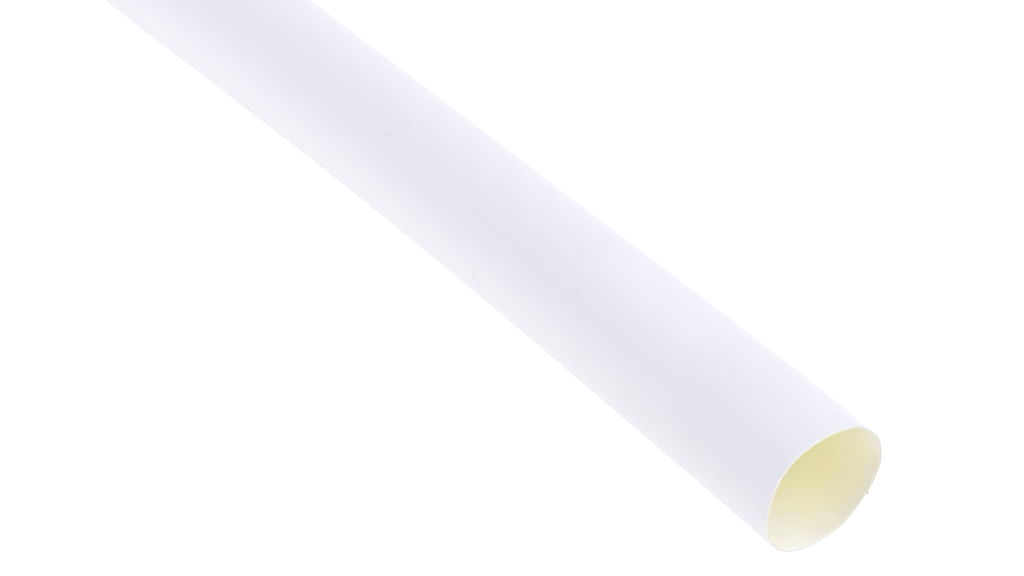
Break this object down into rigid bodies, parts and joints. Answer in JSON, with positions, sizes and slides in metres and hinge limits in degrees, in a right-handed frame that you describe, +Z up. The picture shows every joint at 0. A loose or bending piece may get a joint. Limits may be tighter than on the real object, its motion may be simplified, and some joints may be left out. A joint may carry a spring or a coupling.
{
  "type": "heat shrink tube",
  "caption": "Straight stick of thin-walled white heat shrink tube, open right through, cut square at both ends, for sleeving and insulating cables and splices.",
  "frame": {"origin": "on the floor under the middle of the stick's box", "axes": "+X along the tube towards the end with the bow beside it, +Z up, +Y the side that the bow goes to"},
  "size_m": [1.2, 0.03, 0.0265],
  "materials": {
    "white_polyolefin": "smooth extruded cross-linked polyolefin, cool white outside with a soft satin shine, slightly translucent, warmer cream in the bore and on the cut rim"
  },
  "bodies": {
    "root": {"tube": "white_polyolefin"}
  },
  "joints": []
}
